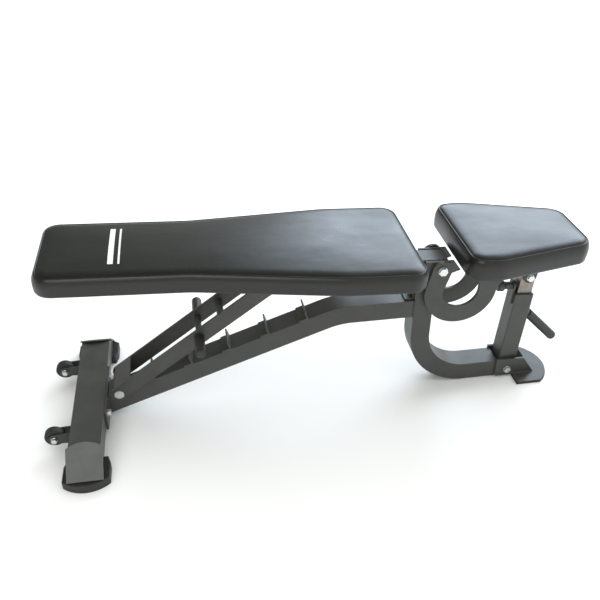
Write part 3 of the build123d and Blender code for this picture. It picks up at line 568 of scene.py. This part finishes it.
# ------------------------------------------------------------------ vinyl pads
# Each pad is a foam slab on its board, upholstered in black vinyl: a top panel and a side
# band sewn together just under the rim, drawn tight and stapled to the underside of the board.
vinyl_grain, entry, leave = node_group(
    "vinyl_grain", {"Cell scale": 620.0, "Crease scale": 30.0},
    {"Height": "Float", "Mottle": "Float", "Crease": "Float"},
)
place = vinyl_grain.nodes.new("ShaderNodeTexCoord")
cells = vinyl_grain.nodes.new("ShaderNodeTexVoronoi")
cells.feature = "SMOOTH_F1"
cells.inputs["Smoothness"].default_value = 0.6
vinyl_grain.links.new(place.outputs["Object"], cells.inputs["Vector"])
vinyl_grain.links.new(entry.outputs["Cell scale"], cells.inputs["Scale"])
fold = noise_node(vinyl_grain, entry.outputs["Crease scale"], 4.0, 0.5, (0.6, 1.0, 1.0))
pebble = noise_node(vinyl_grain, 260.0, 3.0)
small_pebble = math_node(vinyl_grain, "MULTIPLY", pebble, 0.5)
height = math_node(vinyl_grain, "ADD", cells.outputs["Distance"], small_pebble)
vinyl_grain.links.new(height, leave.inputs["Height"])
vinyl_grain.links.new(range_node(vinyl_grain, pebble, 0.3, 0.7), leave.inputs["Mottle"])
vinyl_grain.links.new(fold, leave.inputs["Crease"])


def vinyl_finish(name):
    """Black upholstery vinyl: pebbled grain, slow creases and a soft satin sheen."""
    material, tree, shader = new_finish(name, 0.36)
    grain = placed(tree, vinyl_grain, Cell_scale=640.0, Crease_scale=14.0)
    base = mixed(tree, grain.outputs["Mottle"], (0.007, 0.007, 0.006), (0.011, 0.011, 0.0098))
    tree.links.new(base, shader.inputs["Base Color"])
    rough = range_node(tree, grain.outputs["Crease"], 0.3, 0.7, 0.27, 0.38)
    tree.links.new(rough, shader.inputs["Roughness"])
    crease = tree.nodes.new("ShaderNodeBump")
    crease.inputs["Distance"].default_value = 0.0012
    tree.links.new(grain.outputs["Crease"], crease.inputs["Height"])
    bumped(tree, shader, grain.outputs["Height"], 0.00010, crease.outputs["Normal"])
    return material, tree, shader, base


seat_vinyl = vinyl_finish("seat_vinyl")[0]
back_vinyl, tree, shader, vinyl_colour = vinyl_finish("back_vinyl")

# two plain white printed bars across the back pad near the head, one broad and one narrow
print_place = tree.nodes.new("ShaderNodeTexCoord")
print_axes = tree.nodes.new("ShaderNodeSeparateXYZ")
tree.links.new(print_place.outputs["Object"], print_axes.inputs[0])
print_half_length = 0.080
print_lowest = 0.44
bars = None
for middle, half in ((-0.470, 0.0060), (-0.452, 0.0022)):
    away = math_node(tree, "ABSOLUTE", math_node(tree, "SUBTRACT", print_axes.outputs["X"], middle))
    bar = math_node(tree, "LESS_THAN", away, half)
    bars = bar if bars is None else math_node(tree, "MAXIMUM", bars, bar)
off_middle = math_node(tree, "ABSOLUTE", print_axes.outputs["Y"])
across = math_node(tree, "LESS_THAN", off_middle, print_half_length)
above = math_node(tree, "GREATER_THAN", print_axes.outputs["Z"], print_lowest)
printed = math_node(tree, "MULTIPLY", math_node(tree, "MULTIPLY", bars, across), above)
worn_print = range_node(tree, noise_node(tree, 900.0, 4.0), 0.30, 0.42)
printed = math_node(tree, "MULTIPLY", printed, worn_print)
tree.links.new(mixed(tree, printed, vinyl_colour, (0.78, 0.78, 0.76)), shader.inputs["Base Color"])

thread, tree, shader = new_finish("seam_thread", 0.7)
twist = noise_node(tree, 2400.0, 2.0, 0.5, (1, 1, 3))
tree.links.new(mixed(tree, twist, (0.02, 0.02, 0.02), (0.06, 0.06, 0.058)), shader.inputs["Base Color"])
bumped(tree, shader, twist, 0.0001)


def rounded_outline(corners, radii, step):
    """Points along a closed plan with its corners rounded, going round counter-clockwise."""
    path = []
    count = len(corners)
    for index, corner in enumerate(corners):
        here = Vector(corner)
        back = (Vector(corners[index - 1]) - here).normalized()
        ahead = (Vector(corners[(index + 1) % count]) - here).normalized()
        half_turn = math.acos(max(-1, min(1, back.dot(ahead)))) / 2
        reach = radii[index] / math.tan(half_turn)
        centre = here + (back + ahead).normalized() * (radii[index] / math.sin(half_turn))
        start = here + back * reach - centre
        finish = here + ahead * reach - centre
        sweep = math.atan2(start.x * finish.y - start.y * finish.x, start.dot(finish))
        pieces = max(2, int(abs(sweep) * radii[index] / (step / 2)))
        for piece in range(pieces + 1):
            turn = sweep * piece / pieces
            spun = Vector((
                start.x * math.cos(turn) - start.y * math.sin(turn),
                start.x * math.sin(turn) + start.y * math.cos(turn),
            ))
            path.append(centre + spun)
    lengths = [0.0]
    for index in range(len(path)):
        lengths.append(lengths[-1] + (path[(index + 1) % len(path)] - path[index]).length)
    total = lengths[-1]
    wanted = round(total / step / 2) * 2
    even = []
    place_index = 0
    for index in range(wanted):
        goal = total * index / wanted
        while lengths[place_index + 1] < goal:
            place_index += 1
        span = lengths[place_index + 1] - lengths[place_index]
        share = (goal - lengths[place_index]) / max(span, 1e-9)
        even.append(path[place_index].lerp(path[(place_index + 1) % len(path)], share))
    return even


def outward(points, index):
    """The outward direction in plan at a point of a counter-clockwise outline."""
    run = points[(index + 1) % len(points)] - points[index - 1]
    return Vector((run.y, -run.x)).normalized()


# hem of a pad under its board: inset from the outline, height from the board's underside
pad_hem = (
    (0.0270, 0.0015), (0.0262, -0.0006), (0.0245, -0.0018), (0.0180, -0.0021),
    (0.0110, -0.0022), (0.0055, -0.0021), (0.0022, -0.0008), (0.0006, 0.0020),
)
# side band of a pad, sewn ridge, valley of the stitches, and rim of the top panel:
# inset from the outline, share of the pad's thickness
pad_side = (
    (0.0002, 0.12), (-0.0004, 0.24), (-0.0008, 0.36), (-0.0008, 0.48), (-0.0002, 0.60),
    (0.0010, 0.70), (0.0024, 0.78), (0.0040, 0.845), (0.0054, 0.885), (0.0064, 0.903),
    (0.0071, 0.908), (0.0077, 0.900), (0.0083, 0.884), (0.0090, 0.880), (0.0099, 0.890),
    (0.0118, 0.912), (0.0150, 0.937), (0.0200, 0.962), (0.0260, 0.978),
)
hem_rings = len(pad_hem)                  # these rings are held by the board
seam_ring = hem_rings + 10                # the sewn ridge
valley_ring = hem_rings + 13              # where the stitches sit
pad_crown = 0.0030     # rise of the foam's middle above its rim before it is inflated
pad_step = 0.0050
inflate_frames = 12
pad_pressure = 4.5
swell_limit = 0.006    # the furthest that any point may move
seam_hold = 0.9        # how firmly the seam is held while the pad is blown up
evening_passes = 60
crease_share = 0.03    # how much of the cloth's own creasing is kept
meeting_gap = 0.0004   # points of the middle line closer than this are one point


def pad_shell(outline, thickness, spine_start, spine_end):
    """A closed pad in its own plan: rings up its side, then rings in to its middle line."""
    mesh = bmesh.new()
    ring_number = mesh.verts.layers.int.new("ring")
    count = len(outline)
    normals = [outward(outline, index) for index in range(count)]
    rings = []
    profile = [*pad_hem, *((inset, share * thickness) for inset, share in pad_side)]
    for inset, height in profile:
        ring = []
        for index, point in enumerate(outline):
            spot = point - normals[index] * inset
            ring.append(mesh.verts.new((spot.x, spot.y, height)))
        rings.append(ring)
    top_inset, top_height = profile[-1]
    reach = max(abs(point.y) for point in outline) - top_inset
    inner = round(reach / pad_step / 1.25)
    for level in range(1, inner + 1):
        share = level / inner
        ring = []
        for index, point in enumerate(outline):
            spot = point - normals[index] * top_inset
            goal = Vector((min(max(spot.x, spine_start), spine_end), 0))
            spot = spot.lerp(goal, share)
            height = top_height + pad_crown * (1 - (1 - share) ** 2)
            ring.append(mesh.verts.new((spot.x, spot.y, height)))
        rings.append(ring)
    for low, high in zip(rings, rings[1:]):
        for index in range(count):
            following = (index + 1) % count
            mesh.faces.new((low[index], low[following], high[following], high[index]))
    mesh.faces.new(list(reversed(rings[0])))
    for number, ring in enumerate(rings):
        for vertex in ring:
            vertex[ring_number] = number
    bmesh.ops.remove_doubles(mesh, verts=rings[-1], dist=meeting_gap)
    bmesh.ops.recalc_face_normals(mesh, faces=mesh.faces)
    mesh.verts.index_update()
    ring_of = {vertex.index: vertex[ring_number] for vertex in mesh.verts}
    return mesh, ring_of, normals


def neighbour_mean(values, ends):
    """The mean of each vertex's neighbours; ends holds the two vertices of every edge."""
    total = np.zeros_like(values)
    np.add.at(total, ends[:, 0], values[ends[:, 1]])
    np.add.at(total, ends[:, 1], values[ends[:, 0]])
    return total / np.bincount(ends.ravel(), minlength=len(values))[:, None]


def inflated(piece, held, cap, pressure):
    """Blow the pad up as cloth under pressure, even out its swell, and cap how far it moves.

    held gives the vertices held at each weight.  The top panel is evened out once more at
    the end, so that it lies smooth over the foam.
    """
    mesh = piece.data
    count = len(mesh.vertices)
    start = np.empty(count * 3)
    mesh.vertices.foreach_get("co", start)
    holding = piece.vertex_groups.new(name="held")
    free = np.ones(count)
    for weight, members in held.items():
        holding.add(members, weight, "REPLACE")
        free[members] = 1.0 - weight
    cloth = piece.modifiers.new("inflate", "CLOTH")
    cloth.settings.use_pressure = True
    cloth.settings.uniform_pressure_force = pressure
    cloth.settings.vertex_group_mass = holding.name
    cloth.settings.mass = 0.4
    cloth.settings.tension_stiffness = 40
    cloth.settings.compression_stiffness = 40
    cloth.settings.shear_stiffness = 20
    cloth.settings.bending_stiffness = 20
    cloth.settings.quality = 4
    cloth.settings.effector_weights.gravity = 0
    cloth.collision_settings.use_collision = False
    cloth.collision_settings.use_self_collision = False
    for number in range(1, inflate_frames + 1):
        scene.frame_set(number)
    shaped = piece.evaluated_get(bpy.context.evaluated_depsgraph_get())
    moved = np.empty(count * 3)
    shaped.data.vertices.foreach_get("co", moved)
    piece.modifiers.remove(cloth)
    scene.frame_set(1)
    ends = np.array([edge_here.vertices[:] for edge_here in mesh.edges])
    sharp = (moved - start).reshape(-1, 3)
    swell = sharp.copy()
    give_way = np.minimum(1.0, free * 4)[:, None]
    for _ in range(evening_passes):
        swell = neighbour_mean(swell, ends) * give_way
    swell = swell * (1 - crease_share) + sharp * crease_share
    size = np.linalg.norm(swell, axis=1, keepdims=True)
    swell *= np.minimum(1.0, cap / np.maximum(size, 1e-9))
    shape = start.reshape(-1, 3) + swell
    height = start[2::3]
    on_top = height > height.max() - pad_crown * 0.9
    panel = (on_top & (free > 0.99))[:, None]
    for _ in range(evening_passes):
        shape = np.where(panel, neighbour_mean(shape, ends), shape)
    mesh.vertices.foreach_set("co", shape.ravel())


def make_pad(name, outline, thickness, spine, slope, datum, body, node, material):
    """A sewn pad, laid at its slope on its board."""
    mesh, ring_of, normals = pad_shell(outline, thickness, *spine)
    data = bpy.data.meshes.new(name)
    mesh.to_mesh(data)
    mesh.free()
    pad = bpy.data.objects.new(name, data)
    scene.collection.objects.link(pad)
    fixed = [v for v, ring in ring_of.items() if ring <= hem_rings]
    sewn = [v for v, ring in ring_of.items() if seam_ring - 1 <= ring <= valley_ring + 1]
    inflated(pad, {1.0: fixed, seam_hold: sewn}, swell_limit, pad_pressure)
    lay = Matrix.Translation(datum) @ Matrix.Rotation(slope, 4, "Y")
    data.transform(lay)
    for face in data.polygons:
        face.use_smooth = True
    data.materials.append(material)
    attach(pad, body)
    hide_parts(node)
    return pad, lay, normals


def seam_stitches(name, outline, thickness, normals, lay, body):
    """Short lock stitches along the valley above the sewn ridge."""
    mesh = bmesh.new()
    inset, share = pad_side[valley_ring - hem_rings]
    height = share * thickness
    stitch_inset = inset - 0.0006
    stitch_pitch = 2
    for index in range(0, len(outline), stitch_pitch):
        first = outline[index] - normals[index] * stitch_inset
        following = (index + 1) % len(outline)
        second = outline[following] - normals[following] * stitch_inset
        run = (second - first) * 0.36
        middle = (first + second) / 2
        points = []
        for share in (-1.0, -0.5, 0.0, 0.5, 1.0):
            spot = middle + run * share
            lift = 0.0004 * (1 - share * share)
            points.append(lay @ Vector((spot.x, spot.y, height + lift)))
        add_tube(mesh, points, lambda step: 0.00042 if 0 < step < 4 else 0.0002, 6)
    new_piece(name, finished_mesh(mesh, name), body, thread)


def hem_staples(name, outline, normals, lay, body):
    """Wire staples through the hem under the board."""
    mesh = bmesh.new()
    staple_half = 0.0055
    staple_inset = 0.0165
    staple_pitch = 6
    wire_radius = 0.0004
    for index in range(0, len(outline), staple_pitch):
        normal = normals[index]
        along = Vector((-normal.y, normal.x))
        middle = outline[index] - normal * staple_inset
        points = []
        for share, height in ((-1, -0.0014), (-0.94, -0.0026), (0.94, -0.0026), (1, -0.0014)):
            spot = middle + along * staple_half * share
            points.append(lay @ Vector((spot.x, spot.y, height)))
        add_tube(mesh, points, lambda step: wire_radius, 6)
    new_piece(name, finished_mesh(mesh, name), body, zinc)


joints = {joint["name"]: joint for joint in frame["record"]["behaviour"]["joints"]}
pivot = Vector(joints["back_tilt"]["pos_m"])

# back pad: narrow at the head, wider at the hips, sloping down a little to the seat end
back_slope = math.radians(2.9)
back_underside = 0.024
back_thickness = 0.0495
back_head, back_tail = -0.948, -0.075
back_shoulder, back_hip = -0.610, -0.270
back_narrow, back_wide = 0.129, 0.174
back_corner, back_waist = 0.042, 0.300     # radii at the corners, and where the width changes
back_outline = rounded_outline(
    [(back_head, 0), (back_head, -back_narrow), (back_shoulder, -back_narrow - 0.001),
     (back_hip, -back_wide), (back_tail, -back_wide), (back_tail, back_wide),
     (back_hip, back_wide), (back_shoulder, back_narrow + 0.001), (back_head, back_narrow)],
    [0, back_corner, back_waist, back_waist, back_corner, back_corner, back_waist, back_waist,
     back_corner],
    pad_step,
)
back_datum = pivot + Matrix.Rotation(back_slope, 3, "Y") @ Vector((0, 0, back_underside))
back_pad, back_lay, back_normals = make_pad(
    "back_pad", back_outline, back_thickness, (back_head + 0.12, back_tail - 0.14),
    back_slope, back_datum, "back", "back_cushion", back_vinyl,
)
seam_stitches("back_stitches", back_outline, back_thickness, back_normals, back_lay, "back")
hem_staples("back_staples", back_outline, back_normals, back_lay, "back")

# seat: widest a third of the way along and narrower at the front
seat_slope = math.radians(2.0)
seat_underside = 0.034
seat_thickness = 0.0565
seat_back, seat_front, seat_wide_at = 0.025, 0.355, 0.100
seat_wide, seat_tip = 0.156, 0.095
seat_back_corner, seat_hip, seat_tip_corner = 0.038, 0.110, 0.048
seat_outline = rounded_outline(
    [(seat_back, 0), (seat_back, -seat_wide + 0.006), (seat_wide_at, -seat_wide),
     (seat_front, -seat_tip), (seat_front, seat_tip), (seat_wide_at, seat_wide),
     (seat_back, seat_wide - 0.006)],
    [0, seat_back_corner, seat_hip, seat_tip_corner, seat_tip_corner, seat_hip, seat_back_corner],
    pad_step,
)
seat_datum = pivot + Matrix.Rotation(seat_slope, 3, "Y") @ Vector((0, 0, seat_underside))
seat_pad, seat_lay, seat_normals = make_pad(
    "seat_pad", seat_outline, seat_thickness, (seat_back + 0.13, seat_front - 0.10),
    seat_slope, seat_datum, "seat", "seat_cushion", seat_vinyl,
)
seam_stitches("seat_stitches", seat_outline, seat_thickness, seat_normals, seat_lay, "seat")
hem_staples("seat_staples", seat_outline, seat_normals, seat_lay, "seat")


# ------------------------------------------------------------------ grips and knob
# The strut's handle and the lift handle have dipped rubber grips with a fine grain, and the
# pull pin has a hard black plastic knob.
grip_rubber = moulded(
    "grip_rubber", (0.016, 0.016, 0.016), (0.028, 0.028, 0.027), 0.50, 480.0, 0.0004, 0.001
)
give(grip_rubber, "strut_grip_near", "strut_grip_far", "lift_grip")
give(hub_nylon, "pull_knob")


# ------------------------------------------------------------------ inner post
# The sliding post is square tube in bare zinc plating, a warm dull silver from handling.
post_zinc, tree, shader = new_finish("post_plating", 0.34, metallic=0.9)
edges = placed(tree, soft_edges, Radius=0.0015)
drawn = noise_node(tree, 700.0, 4.0, 0.6, (1.0, 1.0, 0.04))
haze = noise_node(tree, 24.0, 5.0, 0.6)
silver = mixed(tree, range_node(tree, haze, 0.35, 0.65), (0.17, 0.145, 0.125), (0.32, 0.285, 0.25))
tree.links.new(silver, shader.inputs["Base Color"])
tree.links.new(range_node(tree, drawn, 0.3, 0.7, 0.26, 0.44), shader.inputs["Roughness"])
bumped(tree, shader, drawn, 0.00005, edges.outputs["Normal"])
give(post_zinc, "post_inner")
